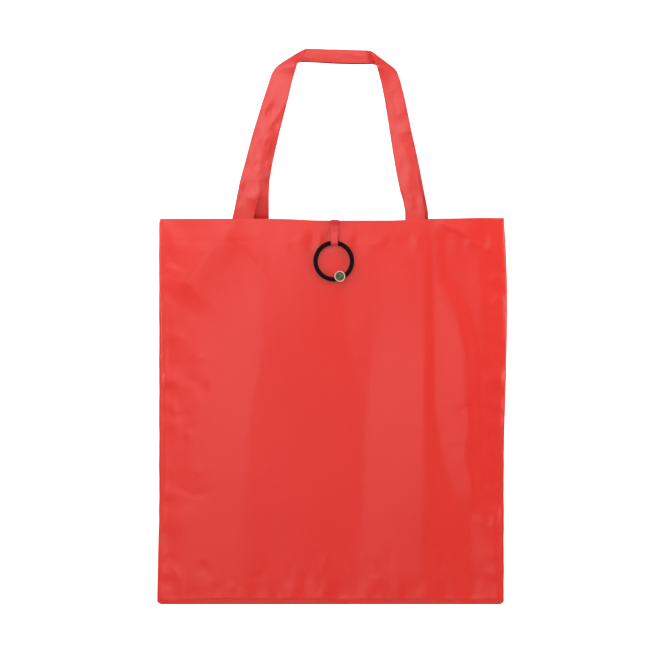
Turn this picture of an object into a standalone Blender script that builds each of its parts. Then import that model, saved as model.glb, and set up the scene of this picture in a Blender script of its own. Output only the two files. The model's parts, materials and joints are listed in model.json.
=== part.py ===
"""Foldable tote bag of light polyester cloth, hanging from its two handles.

Metres, +Z up, the front faces -Y. The origin is where a hand holds the handles, on the underside of
their grips. The bag is two sewn panels, hemmed at the mouth. Each panel is split at the line where the
bag folds in half. A ribbon tab at the mouth carries an elastic ring with a button threaded on it.
"""

import math

import bmesh
import bpy

# Driving dimensions, in metres.
BAG_WIDTH = 0.380
BAG_HEIGHT = 0.420
BAG_DEPTH = 0.012
CLOTH = 0.0006
GAP = 0.0003
PANEL_SLOPE = 0.030
HEM_DEPTH = 0.025
SEAM_WIDTH = 0.007
SEAM_INSET = 0.004
STRAP_WIDTH = 0.025
STRAP_THICKNESS = 0.0010
GRIP_RISE = 0.1715
GRIP_HEIGHT = 0.015
THREAD = 0.0003
TAB_WIDTH = 0.009
TAB_THICKNESS = 0.0012
RING_RADIUS = 0.020
CORD = 0.0044
BUTTON_WIDTH = 0.012
BUTTON_ANGLE = math.radians(23)

# Levels and depths that follow from them.
RIM_Z = -GRIP_RISE
BOTTOM_Z = RIM_Z - BAG_HEIGHT
FOLD_Z = RIM_Z - BAG_HEIGHT / 2
FACE_Y = BAG_DEPTH / 2
PANEL_Y = FACE_Y - CLOTH / 2
EDGE_Y = (CLOTH + GAP) / 2
HEM_INSET = CLOTH + GAP
STRAP_Y = PANEL_Y - HEM_INSET - CLOTH / 2 - GAP - STRAP_THICKNESS / 2
STITCH_Y = STRAP_Y - STRAP_THICKNESS / 2 - GAP - THREAD / 2
TAB_X = 0.0033
RING_Y = -0.011
RING_TOP_Z = RIM_Z - 0.025
RING_Z = RING_TOP_Z - RING_RADIUS
LOOP_INNER = CORD / 2 + 0.0008
LOOP_OUTER = LOOP_INNER + CLOTH

# The joints' axes, as points (x, y, z).
FOLD_AXIS = (0.0, 0.009, FOLD_Z)
FRONT_HANDLE_AXIS = (0.0, -0.0059, RIM_Z + 0.0005)
REAR_HANDLE_AXIS = (0.0, 0.0059, RIM_Z + 0.0005)
TAB_AXIS = (TAB_X, -0.0081, RIM_Z + 0.0003)
RING_AXIS = (TAB_X, RING_Y, RING_TOP_Z)
BUTTON_AXIS = (TAB_X, RING_Y, RING_Z)

# Each handle's legs: where they leave the mouth, and where they meet the grip.
HANDLES = {
    "front": {"side": -1, "base": (-0.0953, 0.0936), "top": (-0.0488, 0.0605)},
    "rear": {"side": 1, "base": (-0.0819, 0.0900), "top": (-0.0475, 0.0590)},
}

# Finish of each kind of piece: colour, roughness, metallic.
FINISHES = {
    "bag_cloth": ((0.80, 0.075, 0.055, 1.0), 0.60, 0.0),
    "strap_cloth": ((0.84, 0.11, 0.10, 1.0), 0.60, 0.0),
    "ribbon": ((0.84, 0.10, 0.10, 1.0), 0.50, 0.0),
    "thread": ((0.78, 0.07, 0.06, 1.0), 0.55, 0.0),
    "elastic": ((0.018, 0.006, 0.006, 1.0), 0.80, 0.0),
    "button_metal": ((0.42, 0.36, 0.27, 1.0), 0.35, 1.0),
    "button_inlay": ((0.11, 0.13, 0.07, 1.0), 0.45, 0.0),
}


def clear_scene():
    for obj in list(bpy.data.objects):
        bpy.data.objects.remove(obj, do_unlink=True)


def make_collection(name):
    collection = bpy.data.collections.new(name)
    bpy.context.scene.collection.children.link(collection)
    return collection


def paint(obj, finish):
    """Gives the object its own Principled material."""
    colour, roughness, metallic = FINISHES[finish]
    material = bpy.data.materials.new(obj.name)
    material.use_nodes = True
    shader = material.node_tree.nodes["Principled BSDF"]
    shader.inputs["Base Color"].default_value = colour
    shader.inputs["Roughness"].default_value = roughness
    shader.inputs["Metallic"].default_value = metallic
    obj.data.materials.append(material)


def link_piece(name, data, finish, parent=None):
    obj = bpy.data.objects.new(name, data)
    pieces.objects.link(obj)
    paint(obj, finish)
    return hang_from(obj, parent)


def hang_from(obj, parent):
    """Parents a piece to a joint's empty, and leaves it where it is."""
    if parent is not None:
        bpy.context.view_layer.update()
        obj.parent = parent
        obj.matrix_parent_inverse = parent.matrix_world.inverted()
    return obj


def joint_axis(name, point, parent=None):
    axis = bpy.data.objects.new(name, None)
    axis.location = point
    axis.empty_display_size = 0.01
    pieces.objects.link(axis)
    return hang_from(axis, parent)


def make_cutter(obj):
    """Moves the active primitive to the cutters."""
    for collection in list(obj.users_collection):
        collection.objects.unlink(obj)
    cutters.objects.link(obj)
    obj.hide_render = True
    obj.display_type = "WIRE"
    return obj


def adopt(obj, name, finish, parent):
    """Turns the active primitive into a named piece."""
    for collection in list(obj.users_collection):
        collection.objects.unlink(obj)
    pieces.objects.link(obj)
    obj.name = name
    paint(obj, finish)
    return hang_from(obj, parent)


# Sheets: panels and hems share one puffed profile.


def swell(distance):
    """How far a panel has risen at this distance from a sewn edge, from 0 to 1."""
    return math.sin(0.5 * math.pi * min(distance / PANEL_SLOPE, 1.0))


def panel_depth(x, z):
    side = BAG_WIDTH / 2 - abs(x)
    return EDGE_Y + (PANEL_Y - EDGE_Y) * swell(side) * swell(z - BOTTOM_Z)


def spread(start, end, steps):
    return [start + (end - start) * step / steps for step in range(steps + 1)]


def columns(half_width):
    """Column positions, close together on the sloping sides and far apart on the flat middle."""
    slope = spread(-half_width, -(BAG_WIDTH / 2 - PANEL_SLOPE), 6)
    return slope + [-x for x in reversed(slope)]


def cloth_sheet(name, side, xs, zs, inset, parent=None):
    """A sheet of cloth on the panel's profile, moved in by inset, with the cloth's thickness."""
    mesh = bpy.data.meshes.new(name)
    bm = bmesh.new()
    bmesh.ops.create_grid(bm, x_segments=len(xs) - 1, y_segments=len(zs) - 1, size=1.0)
    for vertex in bm.verts:
        x = xs[round((vertex.co.x + 1) / 2 * (len(xs) - 1))]
        z = zs[round((vertex.co.y + 1) / 2 * (len(zs) - 1))]
        vertex.co = (x, side * (panel_depth(x, z) - inset), z)
    bmesh.ops.recalc_face_normals(bm, faces=bm.faces)
    bm.to_mesh(mesh)
    bm.free()
    mesh.shade_smooth()
    obj = link_piece(name, mesh, "bag_cloth", parent)
    thickness = obj.modifiers.new("Cloth thickness", "SOLIDIFY")
    thickness.thickness = CLOTH
    thickness.offset = 0
    thickness.use_even_offset = True
    return obj


def block(name, low, high, finish, parent=None, bevel=0.0):
    """A box between two corners, with softened edges."""
    bpy.ops.mesh.primitive_cube_add(size=1.0)
    obj = bpy.context.object
    obj.location = [(a + b) / 2 for a, b in zip(low, high)]
    obj.scale = [b - a for a, b in zip(low, high)]
    bpy.ops.object.transform_apply(location=False, rotation=False, scale=True)
    if bevel:
        edge = obj.modifiers.new("Soft edges", "BEVEL")
        edge.width = bevel
        edge.segments = 2
    return adopt(obj, name, finish, parent)


def tube(name, points, diameter, finish, cyclic=False, parent=None):
    curve = bpy.data.curves.new(name, "CURVE")
    curve.dimensions = "3D"
    curve.bevel_depth = diameter / 2
    curve.bevel_resolution = 2
    curve.use_fill_caps = True
    spline = curve.splines.new("POLY")
    spline.points.add(len(points) - 1)
    for point, place in zip(spline.points, points):
        point.co = (*place, 1.0)
    spline.use_cyclic_u = cyclic
    return link_piece(name, curve, finish, parent)


def flat_outline(name, outlines, thickness, finish, matrix, parent=None):
    """Closed outlines in the XY plane, the later ones holes in the first, given a thickness."""
    curve = bpy.data.curves.new(name, "CURVE")
    curve.dimensions = "2D"
    curve.fill_mode = "BOTH"
    curve.extrude = thickness / 2
    for outline in outlines:
        spline = curve.splines.new("POLY")
        spline.points.add(len(outline) - 1)
        for point, (u, v) in zip(spline.points, outline):
            point.co = (u, v, 0.0, 1.0)
        spline.use_cyclic_u = True
    obj = link_piece(name, curve, finish)
    obj.location = matrix["location"]
    obj.rotation_euler = matrix["rotation"]
    return hang_from(obj, parent)


def arc(centre, radius, start, end, steps):
    """Points on an arc in a plane, angles in radians."""
    return [
        (centre[0] + radius * math.cos(angle), centre[1] + radius * math.sin(angle))
        for angle in spread(start, end, steps)
    ]


# The bag.


def make_panels(fold):
    for name, side in (("front", -1), ("rear", 1)):
        xs = columns(BAG_WIDTH / 2)
        upper_zs = [FOLD_Z + GAP / 2, RIM_Z]
        cloth_sheet(f"{name}_panel_upper", side, xs, upper_zs, 0.0)
        lower_zs = spread(BOTTOM_Z, BOTTOM_Z + PANEL_SLOPE, 6) + [FOLD_Z - GAP / 2]
        cloth_sheet(f"{name}_panel_lower", side, xs, lower_zs, 0.0, fold)


def make_hems():
    half_width = BAG_WIDTH / 2 - SEAM_INSET - SEAM_WIDTH - 0.003
    for name, side in (("front", -1), ("rear", 1)):
        xs = columns(half_width)
        cloth_sheet(f"{name}_hem", side, xs, [RIM_Z - HEM_DEPTH, RIM_Z], HEM_INSET)
        stitch_y = side * (FACE_Y + GAP + THREAD / 2)
        stitch_z = RIM_Z - HEM_DEPTH + 0.001
        flat_half = BAG_WIDTH / 2 - PANEL_SLOPE
        ends = [(-flat_half, stitch_y, stitch_z), (flat_half, stitch_y, stitch_z)]
        tube(f"{name}_hem_stitch", ends, THREAD, "thread")


def make_seams(fold):
    """The seam allowances: folded edges of both panels, sewn inside the bag."""
    half_thickness = CLOTH * 2 / 3
    inner = BAG_WIDTH / 2 - SEAM_INSET - SEAM_WIDTH
    for name, side in (("left", -1), ("right", 1)):
        xs = sorted((side * inner, side * (inner + SEAM_WIDTH)))
        spans = {
            "upper": (FOLD_Z + GAP / 2, RIM_Z, None),
            "lower": (BOTTOM_Z + 0.013, FOLD_Z - GAP / 2, fold),
        }
        for half, (low, high, parent) in spans.items():
            corners = ((xs[0], -half_thickness, low), (xs[1], half_thickness, high))
            block(f"{name}_side_seam_{half}", *corners, "bag_cloth", parent)
    reach = BAG_WIDTH / 2 - 0.025
    low = (-reach, -half_thickness, BOTTOM_Z + SEAM_INSET)
    high = (reach, half_thickness, BOTTOM_Z + SEAM_INSET + SEAM_WIDTH)
    block("bottom_seam", low, high, "bag_cloth", fold)


# The handles.


def handle_outline(base, top):
    """One flat strap seen from the front: two leaning legs, cut corners and a grip between them."""
    half = STRAP_WIDTH / 2
    corner_x, corner_z = 0.029, 0.018
    high = GRIP_RISE + GRIP_HEIGHT
    start = 0.0005
    return [
        (base[0] - half, start),
        (top[0] - half, high - corner_z),
        (top[0] - half + corner_x, high),
        (top[1] + half - corner_x, high),
        (top[1] + half, high - corner_z),
        (base[1] + half, start),
        (base[1] - half, start),
        (top[1] - half, GRIP_RISE),
        (top[0] + half, GRIP_RISE),
        (base[0] + half, start),
    ]


def make_handles(axes):
    for name, handle in HANDLES.items():
        side = handle["side"]
        outline = handle_outline(handle["base"], handle["top"])
        upright = {"location": (0, side * STRAP_Y, RIM_Z), "rotation": (math.pi / 2, 0, 0)}
        flat_outline(f"{name}_handle", [outline], STRAP_THICKNESS, "strap_cloth", upright, axes[name])
        for where, x in zip(("left", "right"), handle["base"]):
            make_handle_end(f"{name}_handle_{where}_end", side, x)


def make_handle_end(name, side, x):
    """The strap's tail inside the hem, and the stitched rectangle that holds it."""
    ys = sorted(side * (STRAP_Y + half) for half in (-STRAP_THICKNESS / 2, STRAP_THICKNESS / 2))
    low = (x - STRAP_WIDTH / 2, ys[0], RIM_Z - HEM_DEPTH + 0.001)
    high = (x + STRAP_WIDTH / 2, ys[1], RIM_Z - 0.0002)
    block(name, low, high, "strap_cloth")
    half = STRAP_WIDTH / 2 - 0.003
    box = [(x + u * half, side * STITCH_Y, RIM_Z - 0.0125 + v * 0.0085) for u, v in SQUARE]
    tube(f"{name}_stitch", box, THREAD, "thread", cyclic=True)


SQUARE = ((-1, -1), (1, -1), (1, 1), (-1, 1))


# The ribbon tab and what hangs on it.


def make_tab_anchor():
    """The ribbon's ends inside the hem, with the turn that carries it over the mouth's edge."""
    inner = -STRAP_Y + STRAP_THICKNESS / 2
    outer = -STRAP_Y - STRAP_THICKNESS / 2
    front = TAB_AXIS[1] + TAB_THICKNESS / 2 + GAP
    under = RIM_Z + GAP
    over = under + STRAP_THICKNESS
    outline = [
        (inner, RIM_Z - HEM_DEPTH + 0.002),
        (inner, over - 0.0004),
        (inner - 0.0004, over),
        (front + 0.0004, over),
        (front, over - 0.0004),
        (front, under),
        (outer, under),
        (outer, RIM_Z - HEM_DEPTH + 0.002),
    ]
    flat_outline("tab_anchor", [outline], TAB_WIDTH, "ribbon", SIDEWAYS)
    half = TAB_WIDTH / 2 - 0.0015
    box = [(TAB_X + u * half, -STITCH_Y, RIM_Z - 0.012 + v * 0.007) for u, v in SQUARE]
    tube("tab_anchor_stitch", box, THREAD, "thread", cyclic=True)


# Outlines drawn as (y, z) are stood up in the YZ plane and given their width along X.
SIDEWAYS = {"location": (TAB_X, 0, 0), "rotation": (math.pi / 2, 0, math.pi / 2)}


def make_tab(axis):
    """A doubled ribbon that hangs from the mouth's edge and ends in a loop round the cord."""
    front = TAB_AXIS[1] - TAB_THICKNESS / 2 - RING_Y
    back = TAB_AXIS[1] + TAB_THICKNESS / 2 - RING_Y
    start = math.acos(front / LOOP_OUTER)
    end = math.acos(back / LOOP_OUTER) + 2 * math.pi
    centre = (RING_Y, RING_TOP_Z)
    top = RIM_Z - 0.0002
    outline = arc(centre, LOOP_OUTER, start, end, 28)
    outline += [(TAB_AXIS[1] + TAB_THICKNESS / 2, top), (TAB_AXIS[1] - TAB_THICKNESS / 2, top)]
    hole = arc(centre, LOOP_INNER, 0, 2 * math.pi, 24)[:-1]
    flat_outline("closure_tab", [outline, hole], TAB_WIDTH, "ribbon", SIDEWAYS, axis)


def ring_points(start, end, steps):
    """Points on the elastic ring's centre line, angles measured from its top."""
    return [
        (TAB_X + RING_RADIUS * math.sin(a), RING_Y, RING_Z + RING_RADIUS * math.cos(a))
        for a in spread(start, end, steps)
    ]


def make_ring(axis):
    """The elastic cord, and the crimped sleeve inside the tab's loop that joins its ends."""
    half_sleeve = 0.003 / RING_RADIUS
    start = half_sleeve + GAP / RING_RADIUS
    cord = ring_points(start, 2 * math.pi - start, 60)
    tube("elastic_cord", cord, CORD, "elastic", parent=axis)
    sleeve = ring_points(-half_sleeve, half_sleeve, 4)
    tube("cord_crimp", sleeve, CORD + 0.0005, "button_metal", parent=axis)


def cylinder(radius, depth, location, vertices=48):
    """A cylinder whose axis runs along Y."""
    bpy.ops.mesh.primitive_cylinder_add(
        vertices=vertices, radius=radius, depth=depth, location=location, rotation=(math.pi / 2, 0, 0)
    )
    return bpy.context.object


def cut(obj, cutter):
    boolean = obj.modifiers.new("Cut " + cutter.name, "BOOLEAN")
    boolean.operation = "DIFFERENCE"
    boolean.object = cutter


def round_edges(obj, width):
    edge = obj.modifiers.new("Round edges", "BEVEL")
    edge.width = width
    edge.segments = 2
    edge.limit_method = "ANGLE"
    edge.angle_limit = math.radians(40)
    obj.data.shade_smooth()


def make_button(axis):
    """A turned cup that the cord runs through, with an inlay in its face and a plate behind."""
    x = TAB_X + RING_RADIUS * math.sin(BUTTON_ANGLE)
    z = RING_Z - RING_RADIUS * math.cos(BUTTON_ANGLE)
    face, back = RING_Y - 0.0039, RING_Y + 0.0031
    cup = cylinder(BUTTON_WIDTH / 2, back - face, (x, (face + back) / 2, z))
    round_edges(cup, 0.0005)
    adopt(cup, "button_cup", "button_metal", axis)

    recess = make_cutter(cylinder(0.0049, 0.0016, (x, face, z)))
    recess.name = "inlay_recess"
    cut(cup, recess)
    bpy.ops.mesh.primitive_torus_add(
        location=(TAB_X, RING_Y, RING_Z),
        rotation=(math.pi / 2, 0, 0),
        major_radius=RING_RADIUS,
        minor_radius=CORD / 2 + GAP,
        major_segments=120,
        minor_segments=16,
    )
    bore = make_cutter(bpy.context.object)
    bore.name = "cord_bore"
    cut(cup, bore)

    inlay = cylinder(0.0046, 0.0005, (x, face + 0.00025, z))
    round_edges(inlay, 0.00015)
    adopt(inlay, "button_inlay", "button_inlay", axis)
    plate = cylinder(0.0050, 0.0006, (x, back + GAP + 0.0003, z))
    round_edges(plate, 0.0002)
    adopt(plate, "button_back", "button_metal", axis)


clear_scene()
pieces = make_collection("foldable_tote_bag")
cutters = make_collection("cutters")

fold_axis = joint_axis("fold_axis", FOLD_AXIS)
handle_axes = {
    "front": joint_axis("front_handle_axis", FRONT_HANDLE_AXIS),
    "rear": joint_axis("rear_handle_axis", REAR_HANDLE_AXIS),
}
tab_axis = joint_axis("tab_axis", TAB_AXIS)
ring_axis = joint_axis("ring_axis", RING_AXIS, tab_axis)
button_axis = joint_axis("button_axis", BUTTON_AXIS, ring_axis)

make_panels(fold_axis)
make_hems()
make_seams(fold_axis)
make_handles(handle_axes)
make_tab_anchor()
make_tab(tab_axis)
make_ring(ring_axis)
make_button(button_axis)
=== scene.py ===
"""Looks of a foldable tote bag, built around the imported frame. Metres, +Z up, the front faces -Y."""

import json
import math

import bmesh
import bpy
import numpy as np
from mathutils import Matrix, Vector


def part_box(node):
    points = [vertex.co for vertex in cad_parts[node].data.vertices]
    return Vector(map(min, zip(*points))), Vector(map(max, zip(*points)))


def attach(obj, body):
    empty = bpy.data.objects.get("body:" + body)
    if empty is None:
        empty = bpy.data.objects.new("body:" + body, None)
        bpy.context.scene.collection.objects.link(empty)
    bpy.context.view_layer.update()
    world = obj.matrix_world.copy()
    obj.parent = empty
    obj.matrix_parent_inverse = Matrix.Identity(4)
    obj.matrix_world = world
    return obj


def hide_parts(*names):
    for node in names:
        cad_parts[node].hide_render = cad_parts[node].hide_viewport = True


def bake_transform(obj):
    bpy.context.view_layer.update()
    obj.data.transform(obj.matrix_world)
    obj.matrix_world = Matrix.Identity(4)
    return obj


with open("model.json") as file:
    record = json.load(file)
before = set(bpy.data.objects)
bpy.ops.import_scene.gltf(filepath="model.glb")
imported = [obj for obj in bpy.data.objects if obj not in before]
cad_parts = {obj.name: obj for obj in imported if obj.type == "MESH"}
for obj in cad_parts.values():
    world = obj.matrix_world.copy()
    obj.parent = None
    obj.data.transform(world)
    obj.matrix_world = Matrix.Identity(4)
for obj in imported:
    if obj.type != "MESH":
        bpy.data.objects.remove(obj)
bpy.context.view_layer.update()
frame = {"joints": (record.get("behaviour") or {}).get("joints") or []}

MM = 0.001

# Levels and places, from the frame.
upper_low, upper_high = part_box("front_panel_upper")
lower_low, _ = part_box("front_panel_lower")
ring_low, ring_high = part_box("elastic_cord")
cup_low, cup_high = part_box("button_cup")
back_low, back_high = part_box("button_back")
strap_low, strap_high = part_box("front_handle")
RIM = upper_high.z
BAG_HEIGHT = RIM - lower_low.z
HALF_WIDTH = upper_high.x
FACE = -upper_low.y
STRAP_Y = -(strap_low.y + strap_high.y) / 2
joints = {joint["name"]: joint for joint in frame["joints"]}
RING = Vector(joints["button_slide"]["pos_m"])
TAB_X = RING.x
CORD = ring_high.y - ring_low.y
RING_RADIUS = joints["ring_swing"]["pos_m"][2] - RING.z
# The ring hangs a little to the left and lies on the cloth; the button sits inside the ring's line.
RING_SHIFT = (-0.8 * MM, 1.6 * MM, 0.0)
BUTTON_SHIFT = (-2.0 * MM, -0.6 * MM, 1.5 * MM)

# --------------------------------------------------------------------------- camera

LENS = 200.0
SENSOR = 36.0
VIEW_WIDTH = 0.7227
VIEW_CENTRE_X = -0.0016
VIEW_CENTRE_BELOW_RIM = 0.1205


def make_camera():
    """A long lens square to the front, far enough away to see the view's width at the bag's face."""
    distance = VIEW_WIDTH * LENS / SENSOR
    data = bpy.data.cameras.new("camera")
    data.lens = LENS
    data.sensor_width = SENSOR
    camera = bpy.data.objects.new("camera", data)
    camera.location = (VIEW_CENTRE_X, -FACE - distance, RIM - VIEW_CENTRE_BELOW_RIM)
    camera.rotation_euler = (math.pi / 2, 0, 0)
    bpy.context.scene.collection.objects.link(camera)
    bpy.context.scene.camera = camera


# --------------------------------------------------------------------------- node helpers


def new_material(name):
    material = bpy.data.materials.new(name)
    material.use_nodes = True
    tree = material.node_tree
    return material, tree, tree.nodes["Principled BSDF"]


def add_node(tree, kind, inputs=None, **settings):
    node = tree.nodes.new(kind)
    for key, value in settings.items():
        setattr(node, key, value)
    for key, value in (inputs or {}).items():
        if isinstance(value, bpy.types.NodeSocket):
            tree.links.new(value, node.inputs[key])
        else:
            node.inputs[key].default_value = value
    return node


def math_node(tree, operation, first, second=0.0):
    return add_node(tree, "ShaderNodeMath", {0: first, 1: second}, operation=operation).outputs[0]


def weighted(tree, first, first_share, second, second_share):
    """The sum of two values, each times its share."""
    first_part = math_node(tree, "MULTIPLY", first, first_share)
    second_part = math_node(tree, "MULTIPLY", second, second_share)
    return math_node(tree, "ADD", first_part, second_part)


def scaled_up(tree, value, scale, base):
    """value times scale, plus base."""
    result = math_node(tree, "MULTIPLY_ADD", value, scale)
    result.node.inputs[2].default_value = base
    return result


def mix_colours(tree, factor, low, high):
    mix = add_node(tree, "ShaderNodeMix", data_type="RGBA")
    for socket, value in (("Factor_Float", factor), ("A_Color", low), ("B_Color", high)):
        target = next(s for s in mix.inputs if s.identifier == socket)
        if isinstance(value, bpy.types.NodeSocket):
            tree.links.new(value, target)
        else:
            target.default_value = value
    return next(s for s in mix.outputs if s.identifier == "Result_Color")


def noise(tree, vector, scale, detail=2.0, roughness=0.5):
    inputs = {"Vector": vector, "Scale": scale, "Detail": detail, "Roughness": roughness}
    return add_node(tree, "ShaderNodeTexNoise", inputs).outputs["Fac"]


def bump(tree, height, strength, distance, normal=None):
    inputs = {"Height": height, "Strength": strength, "Distance": distance}
    if normal is not None:
        inputs["Normal"] = normal
    return add_node(tree, "ShaderNodeBump", inputs).outputs["Normal"]


def cloth_vector(tree):
    """The cloth's own flat coordinates, in metres, which stay with it when it bends."""
    return add_node(tree, "ShaderNodeUVMap", uv_map="cloth").outputs["UV"]


def weave_height(tree, vector, pitch):
    """Plain weave: warp and weft threads that pass over each other in turn."""
    parts = add_node(tree, "ShaderNodeSeparateXYZ", {0: vector})
    waves = []
    for axis in ("X", "Y"):
        turned = math_node(tree, "MULTIPLY", parts.outputs[axis], 2 * math.pi / pitch)
        waves.append(math_node(tree, "SINE", turned))
    product = math_node(tree, "MULTIPLY", waves[0], waves[1])
    return math_node(tree, "MULTIPLY_ADD", product, 0.5)


def woven_material(
    name, deep, bright, roughness, pitch=0.7 * MM, crinkle=0.12, sheen=0.10, specular=0.58
):
    """Thin woven cloth: threads, faint slubs, a crinkled hand and slightly uneven dye."""
    material, tree, shader = new_material(name)
    vector = cloth_vector(tree)
    cloudy = noise(tree, vector, 14.0, 3.0, 0.6)
    stretched = add_node(tree, "ShaderNodeMapping", {"Vector": vector, "Scale": (1.0, 18.0, 1.0)})
    slub = noise(tree, stretched.outputs[0], 120.0, 2.0)
    shade = weighted(tree, cloudy, 0.75, slub, 0.25)
    threads = weave_height(tree, vector, pitch)
    tone = weighted(tree, shade, 0.9, threads, 0.12)
    tree.links.new(mix_colours(tree, tone, deep, bright), shader.inputs["Base Color"])
    worn = scaled_up(tree, noise(tree, vector, 45.0, 3.0), 0.05, roughness - 0.01)
    tree.links.new(worn, shader.inputs["Roughness"])
    crumple = noise(tree, vector, 70.0, 4.0, 0.55)
    normal = bump(tree, crumple, crinkle, 0.0010)
    normal = bump(tree, threads, 0.12, 0.00006, normal)
    tree.links.new(normal, shader.inputs["Normal"])
    shader.inputs["Sheen Weight"].default_value = sheen
    shader.inputs["Sheen Roughness"].default_value = 0.4
    shader.inputs["Sheen Tint"].default_value = (1.0, 0.55, 0.5, 1.0)
    shader.inputs["Specular IOR Level"].default_value = specular
    return material


# --------------------------------------------------------------------------- mesh helpers


def grid_piece(name, points, flat, material, thickness=0.0, offset=0.0):
    """A sheet from a grid of points, rows by columns by 3, with its flat coordinates as UVs."""
    rows, cols = points.shape[:2]
    mesh = bpy.data.meshes.new(name)
    index = np.arange(rows * cols).reshape(rows, cols)
    corners = [index[:-1, :-1], index[:-1, 1:], index[1:, 1:], index[1:, :-1]]
    faces = np.stack(corners, axis=-1).reshape(-1, 4)
    mesh.from_pydata(points.reshape(-1, 3).tolist(), [], faces.tolist())
    layer = mesh.uv_layers.new(name="cloth")
    layer.data.foreach_set("uv", flat.reshape(-1, 2)[faces.ravel()].astype(np.float32).ravel())
    mesh.shade_smooth()
    return finish_piece(name, mesh, material, thickness, offset)


def finish_piece(name, mesh, material, thickness=0.0, offset=0.0):
    mesh.materials.append(material)
    obj = bpy.data.objects.new(name, mesh)
    bpy.context.scene.collection.objects.link(obj)
    if thickness:
        solid = obj.modifiers.new("thickness", "SOLIDIFY")
        solid.thickness = thickness
        solid.offset = offset
    return obj


def closed_piece(name, verts, faces, material):
    """A closed mesh with its faces turned outwards."""
    mesh = bpy.data.meshes.new(name)
    mesh.from_pydata([tuple(v) for v in verts], [], faces)
    bm = bmesh.new()
    bm.from_mesh(mesh)
    bmesh.ops.recalc_face_normals(bm, faces=bm.faces)
    bm.to_mesh(mesh)
    bm.free()
    mesh.shade_smooth()
    return finish_piece(name, mesh, material)


def kernel(sigma):
    reach = max(1, int(math.ceil(3 * sigma)))
    taps = np.exp(-0.5 * (np.arange(-reach, reach + 1) / max(sigma, 1e-6)) ** 2)
    return taps / taps.sum()


def blurred(field, rows, cols):
    """Gaussian blur of a 2D field, widths in cells."""
    for axis, sigma in ((0, rows), (1, cols)):
        if sigma > 0:
            taps = kernel(sigma)
            pad = [(0, 0), (0, 0)]
            pad[axis] = (len(taps) // 2, len(taps) // 2)
            wide = np.pad(field, pad, mode="edge")
            field = np.apply_along_axis(lambda line: np.convolve(line, taps, "valid"), axis, wide)
    return field


def soft_noise(shape, rows, cols, seed):
    """Smooth noise with these correlation widths in cells, mean 0 and deviation 1."""
    field = blurred(np.random.default_rng(seed).standard_normal(shape), rows, cols)
    return (field - field.mean()) / field.std()


def smooth(t):
    t = np.clip(t, 0, 1)
    return t * t * (3 - 2 * t)


def ridge(x, v, points, height, left, right, taper=0.25):
    """A crease along a line of (x, v) points: a ridge of this height, and its width to either side."""
    points = np.array(points, float)
    lengths = np.linalg.norm(np.diff(points, axis=0), axis=1)
    total, start = lengths.sum(), 0.0
    best = np.full(x.shape, np.inf)
    across = np.zeros(x.shape)
    along = np.zeros(x.shape)
    for (x0, v0), (x1, v1), length in zip(points[:-1], points[1:], lengths):
        ux, uv = (x1 - x0) / length, (v1 - v0) / length
        t = np.clip((x - x0) * ux + (v - v0) * uv, 0, length)
        dx, dv = x - x0 - t * ux, v - v0 - t * uv
        far = np.hypot(dx, dv)
        nearer = far < best
        best = np.where(nearer, far, best)
        across = np.where(nearer, np.sign(dx * uv - dv * ux) * far, across)
        along = np.where(nearer, (start + t) / total, along)
        start += length
    width = np.where(across < 0, left, right)
    ends = smooth(along / taper) * smooth((1 - along) / taper)
    return height * ends * np.exp(-((np.abs(across) / width) ** 1.4))


def folded(lines, xs, vs):
    """Cloth in flat facets between crease lines, left to right; each line is (v, x, height) points."""
    lines = [np.array(line, float) for line in lines]
    place = np.stack([np.interp(vs, line[:, 0], line[:, 1]) for line in lines])
    height = np.stack([np.interp(vs, line[:, 0], line[:, 2]) for line in lines])
    return np.stack([np.interp(xs, place[:, row], height[:, row]) for row in range(len(vs))])


# --------------------------------------------------------------------------- stitches


def stitch_row(name, line, normals, material, pitch=3.0 * MM, gap=0.7 * MM, radius=0.16 * MM, sides=6):
    """A row of stitches along a line of points, each a small rounded thread lying on the cloth."""
    line, normals = np.asarray(line, float), np.asarray(normals, float)
    steps = np.concatenate([[0], np.cumsum(np.linalg.norm(np.diff(line, axis=0), axis=1))])
    count = int(steps[-1] / pitch)
    rings = ((0.0, 0.45), (0.12, 0.9), (0.3, 1.0), (0.7, 1.0), (0.88, 0.9), (1.0, 0.45))
    verts, faces = [], []
    for number in range(count):
        first, last = number * pitch + gap / 2, (number + 1) * pitch - gap / 2
        base = len(verts)
        for share, fat in rings:
            at = first + (last - first) * share
            here = np.array([np.interp(at, steps, line[:, k]) for k in range(3)])
            ahead = np.array([np.interp(at + 0.2 * MM, steps, line[:, k]) for k in range(3)])
            up = np.array([np.interp(at, steps, normals[:, k]) for k in range(3)])
            way = ahead - here
            way /= np.linalg.norm(way) + 1e-12
            up /= np.linalg.norm(up) + 1e-12
            side = np.cross(way, up)
            lift = radius * (0.35 + 0.5 * math.sin(math.pi * share))
            for k in range(sides):
                angle = 2 * math.pi * k / sides
                rise = lift + radius * fat * math.sin(angle)
                verts.append(here + up * rise + side * radius * fat * math.cos(angle))
        for r in range(len(rings) - 1):
            for k in range(sides):
                a, b = base + r * sides + k, base + r * sides + (k + 1) % sides
                faces.append((a, b, b + sides, a + sides))
        faces.append(tuple(base + k for k in reversed(range(sides))))
        faces.append(tuple(base + (len(rings) - 1) * sides + k for k in range(sides)))
    return closed_piece(name, verts, faces, material)


def joined(name, pieces):
    """Joins pieces into the first one."""
    bpy.ops.object.select_all(action="DESELECT")
    for piece in pieces:
        piece.select_set(True)
    bpy.context.view_layer.objects.active = pieces[0]
    bpy.ops.object.join()
    pieces[0].name = name
    return pieces[0]


# --------------------------------------------------------------------------- panels

CELL = 2.0 * MM
CLOTH = 0.25 * MM
HEM = 25 * MM
HEM_SEAM = 24 * MM
# Heights in millimetres: of the panels' edges above the bag's middle plane, and of the bottom's drop.
EDGE_HEIGHT = 0.35
BOTTOM_DROP = 1.2
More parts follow.
